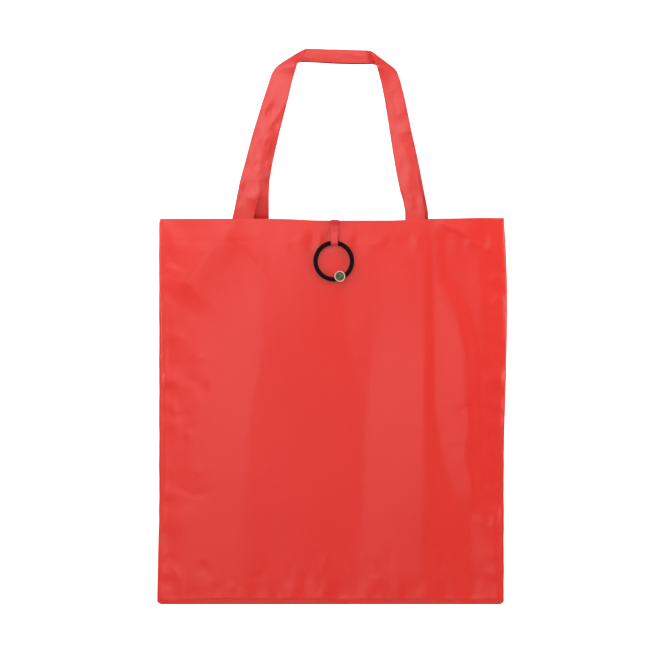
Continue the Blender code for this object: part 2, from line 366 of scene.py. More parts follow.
# Radius of the cloth's turn at the mouth, in millimetres.
MOUTH_TURN = 0.45

# Crease lines of the front panel, left to right: (depth below the mouth, x, height), in millimetres.
FRONT_CREASES = [
    [(0, -192, 0.3), (420, -192, 0.3)],
    [(0, -188, 0.8), (300, -188, 0.8), (420, -188, 0.6)],
    [(0, -174, 2.4), (300, -176, 2.2), (420, -176, 1.4)],
    [(0, -160, 3.7), (200, -162, 3.6), (300, -165, 3.2), (420, -165, 1.9)],
    [(0, -144, 4.8), (60, -145, 4.8), (200, -148, 4.7), (280, -158, 4.0), (420, -155, 2.2)],
    [(0, -128, 5.3), (60, -128, 5.5), (200, -132, 5.5), (280, -140, 4.8), (420, -140, 2.4)],
    [(0, -77, 5.9), (30, -77, 6.9), (150, -77, 7.4), (208, -89, 7.0), (281, -94, 6.5), (370, -103, 4.6),
     (420, -103, 3.1)],
    [(0, -18, 6.3), (40, -18, 6.9), (80, -18, 6.6), (150, -22, 5.5), (300, -30, 4.9), (420, -30, 2.5)],
    [(0, 14, 6.2), (46, 14, 6.6), (90, 14, 5.4), (130, 16, 4.5), (170, 30, 3.65), (208, 34, 3.5),
     (289, 34, 3.3), (420, 26, 2.0)],
    [(0, 49, 6.2), (46, 49, 6.6), (90, 48, 5.7), (130, 45, 4.6), (160, 44, 3.8), (208, 40, 3.5),
     (289, 37, 3.35), (420, 28, 2.0)],
    [(0, 100, 5.8), (30, 103, 6.5), (205, 103, 7.1), (310, 101, 6.2), (420, 97, 3.4)],
    [(0, 106, 5.8), (30, 109, 5.5), (205, 111, 5.4), (261, 122, 5.0), (306, 138, 4.4), (325, 155, 3.3),
     (420, 156, 1.7)],
    [(0, 112, 5.7), (62, 116, 5.7), (99, 137, 6.7), (148, 148, 7.3), (188, 148, 7.3), (229, 154, 7.3),
     (257, 147, 7.0), (281, 156, 6.6), (306, 155, 5.9), (324, 182, 4.4), (420, 184, 3.2)],
    [(0, 120, 5.4), (46, 123, 4.5), (62, 129, 4.2), (99, 149, 4.1), (148, 161, 4.2), (229, 166, 4.0),
     (257, 159, 4.2), (281, 167, 3.5), (306, 165, 3.4), (324, 186, 2.8), (420, 187, 2.2)],
    [(0, 160, 4.6), (99, 163, 4.6), (148, 167, 4.1), (229, 172, 3.7), (306, 172, 2.9), (324, 188, 1.8),
     (420, 188.5, 1.5)],
    [(0, 180, 2.4), (306, 182, 1.9), (324, 189.5, 1.4), (420, 189.5, 1.1)],
    [(0, 188, 1.0), (306, 188, 0.9), (324, 190.8, 0.8), (420, 190.8, 0.7)],
    [(0, 192, 0.3), (420, 192, 0.3)],
]

# Shorter creases of the front panel: points (x, depth), height, width to the left and to the right.
FRONT_RIDGES = [
    ([(-96, 0), (-112, 12), (-137, 38), (-151, 57), (-164, 76), (-174, 92)], 3.3, 17.0, 30.0),
    ([(112, 1), (122, 5), (138, 12), (157, 21)], 1.5, 5.0, 7.0),
    ([(144, 23), (160, 29), (180, 38)], 0.8, 3.0, 4.5),
    ([(-62, 20), (-48, 26), (-30, 22)], 0.5, 4.0, 3.0),
    ([(24, 24), (44, 26), (62, 22)], 0.5, 4.0, 3.0),
    ([(-186, 52), (-176, 54), (-168, 60)], 0.7, 4.0, 4.0),
    ([(186, 60), (176, 64), (170, 72)], 0.7, 4.0, 5.0),
    ([(187, 82), (178, 88), (172, 98)], 0.6, 4.0, 4.0),
]


def small_creases(x, v, seed):
    """Short soft creases, most of them near the sides and the bottom."""
    chance = np.random.default_rng(seed)
    total = np.zeros(x.shape)
    for number in range(64):
        side = -1 if number % 2 else 1
        edge = 6 + 34 * chance.random() ** 1.6
        if number % 3:
            start = (side * (HALF_WIDTH / MM - edge), 30 + chance.random() * (BAG_HEIGHT / MM - 50))
            way = math.radians(chance.normal(0, 28))
            step = (-side * math.cos(way), math.sin(way))
        else:
            start = (chance.uniform(-165, 165), BAG_HEIGHT / MM - edge)
            way = math.radians(chance.normal(0, 22))
            step = (math.sin(way), -math.cos(way))
        reach = 10 + 26 * chance.random()
        end = (start[0] + step[0] * reach, start[1] + step[1] * reach)
        rise = chance.choice([-1, 1]) * (0.16 + 0.26 * chance.random())
        width = 2.2 + 2.6 * chance.random()
        total += ridge(x, v, [start, end], rise, width, 1.6 * width, 0.4)
    return total


def panel_field(vs, xs, creases, ridges, seed):
    """Height of a panel above the bag's middle plane, in millimetres, on a grid of depths and places."""
    x, v = np.meshgrid(xs, vs)
    cell = CELL / MM
    height = blurred(folded(creases, xs, vs), 8.0 / cell, 2.2 / cell)
    from_side = HALF_WIDTH / MM - np.abs(x)
    from_bottom = BAG_HEIGHT / MM - v
    from_edge = np.minimum(from_side, from_bottom)
    for points, rise, left, right in ridges:
        height = height + ridge(x, v, points, rise, left, right)
    # Loose folds and fine crinkles, fainter in the flat middle.
    shape = height.shape
    streaks = soft_noise(shape, 60 / cell, 9 / cell, seed)
    crumple = soft_noise(shape, 11 / cell, 8 / cell, seed + 1)
    near_edges = 0.10 + 0.90 * (1 - smooth(from_edge / 60))
    inside = smooth(v / 14) * smooth(from_side / 10) * smooth(from_bottom / 10)
    small = small_creases(x, v, seed + 2)
    height = height + inside * (0.06 * streaks + near_edges * 0.16 * crumple + small)
    # Puckers that the hem's, sides' and bottom's stitches draw in the cloth.
    along_hem = soft_noise((1, shape[1]), 0, 4.5 / cell, seed + 3)
    uneven = 0.10 + 0.34 * smooth(0.5 + 0.5 * soft_noise((1, shape[1]), 0, 22 / cell, seed + 6))
    height = height + uneven * along_hem * np.exp(-((v - 24) / 9.0) ** 2) * inside
    height = height - (0.10 + 0.08 * along_hem) * np.exp(-((v - 24) / 2.6) ** 2) * inside
    height = height - 0.35 * np.exp(-((v / 20.0) ** 1.5)) * smooth(from_side / 20)
    along_side = soft_noise((shape[0], 1), 6.0 / cell, 0, seed + 4)
    height = height + 0.36 * along_side * np.exp(-((from_side - 9) / 12.0) ** 2) * smooth(from_side / 4)
    along_bottom = soft_noise((1, shape[1]), 0, 5.0 / cell, seed + 5)
    near_bottom = np.exp(-((from_bottom - 10) / 14.0) ** 2)
    height = height + 0.36 * along_bottom * near_bottom * smooth(from_bottom / 4)
    # The seam allowances inside press a step into the cloth along the sides and the bottom.
    step = smooth(from_edge / 1.2) * (1 - smooth((from_edge - 6.5) / 2.0))
    height = height + 0.25 * step
    taper = smooth(from_side / 6.0) ** 0.5 * smooth(from_bottom / 7.0) ** 0.6
    height = EDGE_HEIGHT + (height - EDGE_HEIGHT) * taper
    return np.maximum(height, EDGE_HEIGHT)


# How far the sides stand out from their straight lines, at depths below the mouth, in millimetres.
LEFT_EDGE = [
    (0, -2.4), (16, -1.0), (74, -1.0), (100, -2.0), (140, -3.0), (230, -3.0),
    (250, -2.1), (310, -2.0), (350, -0.1), (385, 0.3), (410, 1.2),
]
RIGHT_EDGE = [
    (0, -1.2), (20, 0.3), (50, 2.0), (75, 2.6), (125, 2.4), (180, 1.1),
    (230, -0.6), (300, -1.6), (355, -2.0), (390, -1.9), (410, -1.0),
]

# How far the mouth's edge stands above its straight line, at places across the bag, in millimetres.
RIM_EDGE = [
    (-190, 1.3), (-60, 1.2), (-45, 0.8), (-20, -0.6), (0, -0.8), (70, -0.7),
    (95, 0.6), (110, 1.3), (140, 1.6), (160, 2.3), (190, 2.1),
]


def soft_line(places, known, sigma):
    """Values at these places along a line of known points, with its corners softened."""
    known = np.array(known)
    return blurred(np.interp(places, known[:, 0], known[:, 1])[:, None], sigma, 0)[:, 0]


def panel_points(side, creases, ridges, seed):
    """The panel's outside from the bottom to the mouth, the turn at the mouth, and the hem inside."""
    count = int(2 * HALF_WIDTH / CELL)
    xs = np.linspace(-HALF_WIDTH, HALF_WIDTH, count + 1) / MM
    outside = np.arange(BAG_HEIGHT / MM, 1.0, -CELL / MM)
    vs = np.concatenate([outside, [0.6, 0.3]])
    height = panel_field(vs[::-1], xs, creases, ridges, seed)[::-1]
    bends = [math.radians(a) for a in (30, 60, 90, 120, 150)]
    turn_v = [MOUTH_TURN - MOUTH_TURN * math.sin(a) for a in bends]
    turn_in = [MOUTH_TURN * (1 - math.cos(a)) for a in bends]
    inner_v = np.concatenate([[0.6, 1.5], np.arange(3.0, HEM / MM, CELL / MM)])
    top = height[-1]
    inner = panel_field(inner_v, xs, creases, ridges, seed)
    rows_v = np.concatenate([vs, turn_v, inner_v])
    from_side = np.minimum(xs + HALF_WIDTH / MM, HALF_WIDTH / MM - xs)
    squeeze = smooth(from_side / 14)
    heights = np.concatenate([
        height,
        np.array([top - depth * squeeze for depth in turn_in]),
        inner - 2 * MOUTH_TURN * squeeze[None, :],
    ])
    left = soft_line(rows_v, LEFT_EDGE, 6)
    right = soft_line(rows_v, RIGHT_EDGE, 6)
    share = (xs / (HALF_WIDTH / MM) + 1) / 2
    x = xs[None, :] + (-left[:, None]) * (1 - share) ** 6 + right[:, None] * share ** 6
    # The mouth's edge waves up and down, and the lower half has stretched a little.
    stretch = BOTTOM_DROP * smooth((rows_v - 250) / 170)[:, None]
    lift = soft_line(xs, RIM_EDGE, 3)[None, :] * np.exp(-rows_v / 60)[:, None] - stretch
    # The bottom corners are a little rounded.
    corner = np.maximum(0, 5 - np.minimum(from_side, 5.0)) ** 2 / 8
    lift = lift + corner[None, :] * np.exp(-(BAG_HEIGHT / MM - rows_v) / 4)[:, None]
    points = np.stack([x * MM, side * heights * MM, RIM - rows_v[:, None] * MM + lift * MM], axis=-1)
    run = np.concatenate([[0], np.cumsum(np.abs(np.diff(rows_v)) + 0.2)]) * MM
    across = np.broadcast_to(xs * MM, heights.shape)
    flat = np.stack([across, np.broadcast_to(run[:, None], heights.shape)], axis=-1)
    if side > 0:
        points, flat = points[:, ::-1], flat[:, ::-1]
    return points, flat, len(vs)


def surface_normals(points):
    along = np.gradient(points, axis=1)
    up = np.gradient(points, axis=0)
    normal = np.cross(along, up)
    return normal / (np.linalg.norm(normal, axis=-1, keepdims=True) + 1e-12)


REAR_CREASES = [
    [(0, -192, 0.3), (420, -192, 0.3)],
    [(0, -188, 1.2), (420, -188, 1.2)],
    [(0, -150, 4.4), (120, -146, 4.6), (300, -156, 4.0), (420, -150, 3.0)],
    [(0, -120, 5.6), (120, -112, 6.2), (260, -126, 5.6), (420, -120, 4.0)],
    [(0, -60, 5.7), (140, -48, 4.8), (300, -70, 4.6), (420, -60, 4.2)],
    [(0, -10, 5.7), (140, 6, 5.9), (300, -8, 5.8), (420, 10, 4.4)],
    [(0, 60, 5.7), (140, 72, 5.0), (300, 58, 4.4), (420, 60, 4.2)],
    [(0, 110, 5.6), (140, 118, 6.3), (300, 104, 6.0), (420, 110, 4.4)],
    [(0, 150, 4.2), (140, 152, 4.4), (300, 150, 4.0), (420, 150, 3.2)],
    [(0, 188, 1.2), (420, 188, 1.2)],
    [(0, 192, 0.3), (420, 192, 0.3)],
]

REAR_RIDGES = [
    ([(-96, 4), (-120, 30), (-150, 64), (-176, 100)], 1.1, 6.0, 14.0),
    ([(104, 4), (126, 26), (150, 50), (174, 84)], 1.1, 12.0, 6.0),
    ([(-70, 30), (-58, 90), (-64, 150)], 0.6, 8.0, 12.0),
    ([(80, 34), (70, 80), (78, 150)], 0.6, 12.0, 8.0),
]


def make_panels(material, thread):
    for name, side, creases, ridges, seed in (
        ("front", -1, FRONT_CREASES, FRONT_RIDGES, 11),
        ("rear", 1, REAR_CREASES, REAR_RIDGES, 47),
    ):
        points, flat, outside = panel_points(side, creases, ridges, seed)
        panel = grid_piece(f"{name}_panel", points, flat, material, CLOTH, 1.0)
        blend_fold(panel)
        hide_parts(f"{name}_panel_upper", f"{name}_panel_lower", f"{name}_hem")
        make_hem_stitches(name, side, points, outside, thread)


def blend_fold(piece):
    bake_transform(piece)


def make_hem_stitches(name, side, points, outside, thread):
    """The hem's seam, which shows outside and inside."""
    normals = surface_normals(points)
    outer = int(np.argmin(np.abs(points[:outside, 0, 2] - (RIM - HEM_SEAM))))
    rows = {"outer": outer, "inner": len(points) - 2}
    made = []
    for face, row in rows.items():
        line = points[row, 3:-3] + normals[row, 3:-3] * 0.05 * MM
        made.append(stitch_row(f"{name}_{face}", line, normals[row, 3:-3], thread))
    row = joined(f"{name}_hem_seam", made)
    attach(row, "bag_upper")
    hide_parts(f"{name}_hem_stitch")


# Seam allowances inside the bag: the folded edges of both panels, sewn together.
SEAM_THICKNESS = 0.5 * MM
SEAM_STEPS = np.array([1.0, 2.5, 4.5, 6.5, 7.5])


def make_side_seam(name, side, material):
    """The allowance down one side."""
    vs = np.arange(2.0, BAG_HEIGHT / MM - 6, CELL / MM)
    wave = 0.25 * np.sin(vs / 9.0) + 0.15 * np.sin(vs / 3.7 + 1.0)
    x = side * (HALF_WIDTH / MM - SEAM_STEPS[None, :] - 0.4 * wave[:, None])
    y = np.broadcast_to(wave[:, None] * (SEAM_STEPS / 9.0)[None, :], x.shape)
    z = RIM - np.broadcast_to(vs[:, None], x.shape) * MM
    points = np.stack([x * MM, y * MM, z], axis=-1)
    flat = np.stack([x * MM, np.broadcast_to(vs[:, None] * MM, x.shape)], axis=-1)
    seam = grid_piece(f"{name}_side_seam", points, flat, material, SEAM_THICKNESS)
    blend_fold(seam)
    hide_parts(f"{name}_side_seam_upper", f"{name}_side_seam_lower")


def make_bottom_seam(material):
    """The allowance along the bottom."""
    xs = np.arange(-HALF_WIDTH / MM + 8, HALF_WIDTH / MM - 7, CELL / MM)
    wave = 0.25 * np.sin(xs / 8.0) + 0.15 * np.sin(xs / 3.1)
    x = np.broadcast_to(xs[None, :], (len(SEAM_STEPS), len(xs)))
    y = wave[None, :] * (SEAM_STEPS / 9.0)[:, None]
    z = RIM - BAG_HEIGHT + (SEAM_STEPS[:, None] + 0.3 * wave[None, :]) * MM
    points = np.stack([x * MM, y * MM, z], axis=-1)
    flat = np.stack([x * MM, z], axis=-1)
    seam = grid_piece("bottom_seam_allowance", points, flat, material, SEAM_THICKNESS)
    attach(seam, "bag_lower")
    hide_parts("bottom_seam")


# --------------------------------------------------------------------------- handles

STRAP_ROWS = 25

# Stations along each strap, left to right: inner edge (x, z, y), outer edge (x, z, y).
# Millimetres from the mouth's level and the strap's own plane; y is towards the back.
FRONT_STRAP = [
    ((-84.5, -23, 0), (-109.5, -23, 0)),
    ((-85.8, 0, 0), (-109, 0, 0)),
    ((-83.3, 12, -1), (-106.6, 11, -1.2)),
    ((-78.4, 28, -2), (-103.4, 27, -2.2)),
    ((-76.4, 43, -2.2), (-100.2, 43, -2.4)),
    ((-72.2, 65, -1.6), (-94.2, 65, -1.6)),
    ((-66.9, 82, -1), (-89.8, 82, -1)),
    ((-61.4, 97, -0.6), (-85.4, 98, -0.6)),
    ((-54.2, 112, 0), (-81, 112, 0)),
    ((-47.8, 131, 0), (-75.2, 131, 0)),
    ((-43, 152, -1), (-68, 153, 0.5)),
    ((-40.9, 160.4, -2), (-65.4, 161, 1)),
    ((-38.9, 166.9, -4), (-60.6, 167.8, 1)),
    ((-37.6, 170.4, -5), (-52, 174, 2)),
    ((-36.6, 172.2, -6), (-38.5, 182.4, 3)),
    ((-35.8, 172.9, -6.2), (-29, 188, 4)),
    ((-35, 173.1, -4), (-28, 188.1, 6.4)),
    ((-30, 174, -3.4), (-24, 188.1, 6.8)),
    ((9, 172.4, -3.2), (8, 187.2, 7)),
    ((26, 172, -3.2), (25, 186.7, 7)),
    ((40, 171.8, -2.4), (36, 186.4, 7.2)),
    ((47.4, 171.4, 1), (41.2, 186.2, 9)),
    ((48.8, 171.2, 1), (42.2, 186.1, 9)),
    ((49.2, 170.8, -6.2), (43, 186, 4)),
    ((49.8, 169.8, -6), (55.5, 176.6, 3)),
    ((50.4, 167, -5), (67.9, 167.2, 1)),
    ((51, 163.7, -3), (71.4, 163.7, 1)),
    ((53.9, 152.7, -1), (75.5, 152.7, 0)),
    ((58.3, 131, 0), (80.9, 131, 0)),
    ((63.6, 98, 0), (87.3, 98, 0)),
    ((66.9, 76, 0), (90.6, 76, 0)),
    ((70.6, 54, -0.5), (94, 54, -0.5)),
    ((75, 32, -1), (98.4, 32, -1)),
    ((78.4, 21, -1), (100.6, 21, -1)),
    ((80.6, 9, -0.6), (102.2, 10, -0.6)),
    ((80.7, 0, 0), (103, 0, 0)),
    ((81, -23, 0), (104, -23, 0)),
]

REAR_STRAP = [
    ((-68.5, -23, 0), (-93.5, -23, 0)),
    ((-68.6, 0, -0.4), (-94, 0, -0.4)),
    ((-68.6, 26, -7.6), (-93.6, 24, -7.6)),
    ((-68.4, 33, -8.1), (-93.2, 33, -8.1)),
    ((-67.8, 43, -8.1), (-92, 43, -8.1)),
    ((-64, 65, -7.7), (-88.5, 65, -7.7)),
    ((-56.4, 98, -6.7), (-81.4, 98, -6.7)),
    ((-50.7, 120, -6), (-75.7, 123, -6)),
    ((-43, 152, -6), (-67, 153, -5.5)),
    ((-40.6, 160.4, -6), (-64.4, 161, -5)),
    ((-37.4, 171, -6), (-59.4, 167.6, -3)),
    ((-36, 172.6, -6), (-44, 178.4, 0)),
    ((-34, 173, -6), (-29, 187.2, 5)),
    ((-27, 173, -6), (-24, 187.3, 5.6)),
    ((9, 171.3, -6), (8, 186.4, 5.8)),
    ((26, 170.8, -6), (25, 185.9, 5.8)),
    ((46, 170.7, -6), (41, 185.5, 5.4)),
    ((49.4, 169.6, -5.8), (56, 175.6, 3)),
    ((51.2, 163, -5.6), (70.2, 163.8, -3)),
    ((54.6, 150, -5.6), (75.4, 151, -5)),
    ((60, 131, -5.8), (81, 131, -5.8)),
    ((65, 98, -6), (87.7, 98, -6)),
    ((68.5, 76, -6.2), (92.8, 76, -6.2)),
    ((73, 54, -6.3), (97.3, 54, -6.3)),
    ((78, 30, -6), (101.9, 30, -6)),
    ((81.5, 10, -2.6), (106, 10, -2.6)),
    ((82, 0, -0.4), (106.4, 0, -0.4)),
    ((83.5, -23, 0), (108.5, -23, 0)),
]


def strap_points(stations, side, seed):
    edges = np.array(stations, float)
    middle = edges.mean(axis=1)
    steps = np.concatenate([[0], np.cumsum(np.linalg.norm(np.diff(middle, axis=0), axis=1))])
    at = np.linspace(0, steps[-1], int(steps[-1] / 1.2) + 1)
    tracks = []
    for edge in range(2):
        track = np.stack([np.interp(at, steps, edges[:, edge, k]) for k in range(3)], axis=-1)
        tracks.append(blurred(track, 1.1, 0))
    across = np.linspace(0, 1, STRAP_ROWS)
    grid = tracks[0][None] * (1 - across)[:, None, None] + tracks[1][None] * across[:, None, None]
    y = side * STRAP_Y / MM + grid[..., 2]
    points = np.stack([grid[..., 0], y, grid[..., 1] + RIM / MM], axis=-1)
    shape = points.shape[:2]
    rise = (points[..., 2] - RIM / MM)
    alive = smooth(rise / 25)
    normals = surface_normals(np.stack([blurred(points[..., k], 0, 5) for k in range(3)], axis=-1))
    # Soft diagonal creases across the strap, loose waves and sharper small crumples.
    run, over = np.meshgrid(at, across * 25)
    slant = soft_noise((1, 4000), 0, 38, seed)[0]
    diagonal = np.interp(run + 0.6 * over, np.linspace(-50, steps[-1] + 80, 4000), slant)
    loose = soft_noise(shape, 4, 7, seed + 1)
    crumple = 1 - np.abs(soft_noise(shape, 3.5, 4.5, seed + 2))
    amount = alive * (0.3 + 0.7 * (1 - smooth((rise - 100) / 50)))
    crown = np.sin(np.pi * across)[:, None]
    waves = 0.18 * diagonal + 0.55 * loose + 0.45 * crumple
    points = points + normals * (amount * waves * (0.5 + 0.5 * crown))[..., None]
    bar = smooth((rise - 168) / 8)
    points = points - normals * (0.5 * bar * crown * np.ones(shape))[..., None]
    flat = np.stack([run, over], axis=-1) * MM
    return points * MM, flat


def make_handle(name, side, stations, seed, material, thread):
    points, flat = strap_points(stations, side, seed)
    strap = grid_piece(f"{name}_handle_strap", points, flat, material, 0.9 * MM)
    edge = strap.modifiers.new("soft_edges", "BEVEL")
    edge.width = 0.25 * MM
    edge.segments = 2
    edge.limit_method = "ANGLE"
    edge.angle_limit = math.radians(60)
    blend_handle(strap)
    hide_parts(f"{name}_handle", f"{name}_handle_left_end", f"{name}_handle_right_end")
    normals = surface_normals(points)
    made = []
    for row in (2, STRAP_ROWS - 3):
        for face in (-1, 1):
            line = points[row] + face * normals[row] * 0.47 * MM
            made.append(stitch_row(f"{name}_edge", line, face * normals[row], thread, radius=0.15 * MM))
    seam = joined(f"{name}_handle_edge_stitching", made)
    blend_handle(seam)
    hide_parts(f"{name}_handle_left_end_stitch", f"{name}_handle_right_end_stitch")


def blend_handle(piece):
    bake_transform(piece)


# --------------------------------------------------------------------------- ribbon tab


def ribbon_path():
    """(y, z) along the ribbon: out of the hem, over the mouth, down, round the cord and back up."""
    loop = CORD / 2 + 0.45 * MM
    centre_y, centre_z = RING.y + RING_SHIFT[1], RING.z + RING_RADIUS
    over = [
        (-3.7, -22), (-3.7, -8), (-3.9, -1.2), (-5.2, 0),
        (-8, 0.15), (-11, 0.15), (-11.9, -0.6), (-11.3, -1.9),
    ]
    down = [(-10.1, -3.2), (-9.2, -4.4), (-8.6, -7), (-9.0, -14), (-11.2, -20.4)]
    back = [
        (-8.5, -17.5), (-8.2, -13), (-7.9, -6), (-8.6, -3.6), (-9.8, -2),
        (-9.4, -0.8), (-8, -0.6), (-5.8, -0.7), (-4.6, -1.6),
    ]
    path = [(y * MM, RIM + z * MM) for y, z in over + down]
    for angle in range(170, 371, 20):
        a = math.radians(angle)
        path.append((centre_y + loop * math.cos(a), centre_z + loop * math.sin(a)))
    path += [(y * MM, RIM + z * MM) for y, z in back]
    return np.array(path)


def make_tab(material):
    """A ribbon looped round the cord: its two layers lie a little apart sideways."""
    path = ribbon_path()
    steps = np.concatenate([[0], np.cumsum(np.linalg.norm(np.diff(path, axis=0), axis=1))])
    at = np.linspace(0, steps[-1], 170)
    line = blurred(np.stack([np.interp(at, steps, path[:, k]) for k in range(2)], axis=-1), 1.3, 0)
    turn = int(np.argmin(line[:, 1]))
    below = smooth((RIM - line[:, 1] - 2.0 * MM) / (3.0 * MM))
    behind = smooth((np.arange(len(at)) - turn) / 10.0 + 0.5)
    middle = TAB_X + (0.4 + below * (-0.6 + 1.7 * behind)) * MM
    width = (4.4 - 0.6 * below) * MM
    across = np.linspace(-1, 1, 19)
    x = middle[None, :] + across[:, None] * width[None, :]
    curl = 0.16 * MM * (1 - across ** 2)[:, None] * np.ones_like(x)
    y = np.broadcast_to(line[:, 0], x.shape) - curl
    points = np.stack([x, y, np.broadcast_to(line[:, 1], x.shape)], axis=-1)
    flat = np.stack([x, np.broadcast_to(at, x.shape)], axis=-1)
    tab = grid_piece("closure_ribbon", points, flat, material, 0.35 * MM)
    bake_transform(tab)
    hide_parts("closure_tab", "tab_anchor", "tab_anchor_stitch")


# --------------------------------------------------------------------------- ring and button

# The cord ends inside the crimped sleeve, this far along the ring from its top.
CORD_END = 2.6 * MM
SLEEVE_REACH = 2.9 * MM
BRAID_YARNS = 8
BRAID_PITCH = 2.4 * MM

# The button, moved to where it hangs; its cup is a little narrower than the solid.
BUTTON_CENTRE = (cup_low + cup_high) / 2 + Vector(BUTTON_SHIFT)
CUP_FRONT = cup_low.y + BUTTON_SHIFT[1]
CUP_BACK = cup_high.y + BUTTON_SHIFT[1]
CUP_RADIUS = (cup_high.x - cup_low.x) / 2 - 0.15 * MM


def ring_frame(angle):
    """A point of the ring's centre line and its outward direction; angle 0 is its top."""
    out = np.array([math.sin(angle), 0.0, math.cos(angle)])
    return np.array(RING) + RING_SHIFT + RING_RADIUS * out, out


def arc_tube(name, angles, radius, sides, material):
    """A closed tube along the ring's line; radius(angle along, angle round) gives its radius."""
    side = np.array([0.0, 1.0, 0.0])
    verts = []
    for angle in angles:
        centre, out = ring_frame(angle)
        for k in range(sides):
            theta = 2 * math.pi * k / sides
            way = math.cos(theta) * out + math.sin(theta) * side
            verts.append(centre + radius(angle, theta) * way)
    faces = []
    for r in range(len(angles) - 1):
        for k in range(sides):
            a, b = r * sides + k, r * sides + (k + 1) % sides
            faces.append((a, b, b + sides, a + sides))
    faces.append(tuple(reversed(range(sides))))
    faces.append(tuple((len(angles) - 1) * sides + k for k in range(sides)))
    return closed_piece(name, verts, faces, material)


def braid_radius(angle, theta):
    """The cord's radius: eight yarns wound each way, the higher of the two crossing ones on top."""
    turn = angle * RING_RADIUS / BRAID_PITCH * 2 * math.pi / BRAID_YARNS * 2
    over = math.cos(BRAID_YARNS * (theta + turn / 2))
    under = math.cos(BRAID_YARNS * (theta - turn / 2))
    return CORD / 2 + 0.06 * MM + 0.16 * MM * (max(over, under) - 0.35)


def sleeve_radius(angle, theta):
    """The crimped sleeve's radius, with a groove squeezed in at its middle."""
    groove = 0.12 * MM * math.exp(-((angle * RING_RADIUS / (0.8 * MM)) ** 2))
    return CORD / 2 + 0.15 * MM - groove


def make_cord(material):
    """The braided elastic, from one end in the sleeve round to the other."""
    start = CORD_END / RING_RADIUS
    angles = np.linspace(start, 2 * math.pi - start, 880)
    cord = arc_tube("elastic_ring_cord", angles, braid_radius, 40, material)
    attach(cord, "elastic_ring")
    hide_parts("elastic_cord")


def make_sleeve(metal):
    """The crimped sleeve that joins the cord's two ends."""
    reach = SLEEVE_REACH / RING_RADIUS
    sleeve = arc_tube("cord_crimp_sleeve", np.linspace(-reach, reach, 41), sleeve_radius, 40, metal)
    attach(sleeve, "elastic_ring")
    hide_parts("cord_crimp")


def turned(name, profile, centre, material, segments=96):
    """A turned piece round the Y axis, from (radius, y) points."""
    mesh = bpy.data.meshes.new(name)
    bm = bmesh.new()
    rings = []
    for radius, y in profile:
        if radius < 1e-7:
            rings.append([bm.verts.new((centre[0], y, centre[2]))])
            continue
        ring = []
        for k in range(segments):
            a = 2 * math.pi * k / segments
            x = centre[0] + radius * math.cos(a)
            z = centre[2] + radius * math.sin(a)
            ring.append(bm.verts.new((x, y, z)))
        rings.append(ring)
    for first, second in zip(rings[:-1], rings[1:]):
        for k in range(segments):
            a, b = first[k % len(first)], first[(k + 1) % len(first)]
            c, d = second[(k + 1) % len(second)], second[k % len(second)]
            corners = [v for i, v in enumerate((a, b, c, d)) if v not in (a, b, c, d)[:i]]
            if len(corners) > 2:
                bm.faces.new(corners)
    bmesh.ops.recalc_face_normals(bm, faces=bm.faces)
    bm.to_mesh(mesh)
    bm.free()
    mesh.shade_smooth()
    mesh.set_sharp_from_angle(angle=math.radians(50))
    return finish_piece(name, mesh, material)


def make_cup(metal):
    """The button's cup with its rolled bezel."""
    front, back, r = CUP_FRONT, CUP_BACK, CUP_RADIUS
    floor = front + 0.75 * MM
    lip = [(0.0, floor), (r - 0.88 * MM, floor), (r - 0.86 * MM, front + 0.40 * MM)]
    for angle in range(170, -11, -15):
        a = math.radians(angle)
        lip.append((r - 0.43 * MM + 0.4 * MM * math.cos(a), front + 0.4 * MM - 0.4 * MM * math.sin(a)))
    waist = [(r - 0.25 * MM, front + 0.9 * MM), (r - 0.05 * MM, front + 1.3 * MM)]
    tail = [(r - 0.05 * MM, back - 0.8 * MM), (r - 0.3 * MM, back - 0.25 * MM)]
    body = waist + tail + [(r - 0.9 * MM, back), (0.0, back)]
    cup = turned("button_bezel_cup", lip + body, BUTTON_CENTRE, metal)
    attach(cup, "ring_button")
    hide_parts("button_cup")


def make_inlay(material):
    """The low dome set in the bezel."""
    front, r = CUP_FRONT, CUP_RADIUS - 0.90 * MM
    dome = []
    for step in range(13):
        share = step / 12
        dome.append((r * share, front + (0.14 + 0.26 * share ** 2) * MM))
    dome.append((r, front + 0.75 * MM))
    dome.append((0.0, front + 0.78 * MM))
    inlay = turned("button_face_inlay", dome, BUTTON_CENTRE, material)
    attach(inlay, "ring_button")
    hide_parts("button_inlay")


def make_back_plate(metal):
    """The plate behind the cord, with softened edges."""
    r = (back_high.x - back_low.x) / 2
    soft = 0.15 * MM
    first = back_low.y + BUTTON_SHIFT[1]
    last = back_high.y + BUTTON_SHIFT[1]
    disc = [(0.0, first), (r - soft, first), (r, first + soft)]
    disc += [(r, last - soft), (r - soft, last), (0.0, last)]
    plate = turned("button_back_plate", disc, BUTTON_CENTRE, metal)
    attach(plate, "ring_button")
    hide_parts("button_back")


def metal_material(name, colour, roughness, metallic):
    """Cast metal with a pale lacquer: small spots and a finely uneven polish."""
    material, tree, shader = new_material(name)
    vector = add_node(tree, "ShaderNodeTexCoord").outputs["Object"]
    spots = noise(tree, vector, 900.0, 4.0)
    dark = tuple(0.75 * c for c in colour[:3]) + (1.0,)
    tree.links.new(mix_colours(tree, spots, dark, colour), shader.inputs["Base Color"])
    rough = scaled_up(tree, noise(tree, vector, 2500.0, 2.0), 0.2, roughness)
    tree.links.new(rough, shader.inputs["Roughness"])
    shader.inputs["Metallic"].default_value = metallic
    tree.links.new(bump(tree, spots, 0.2, 0.00005), shader.inputs["Normal"])
    return material


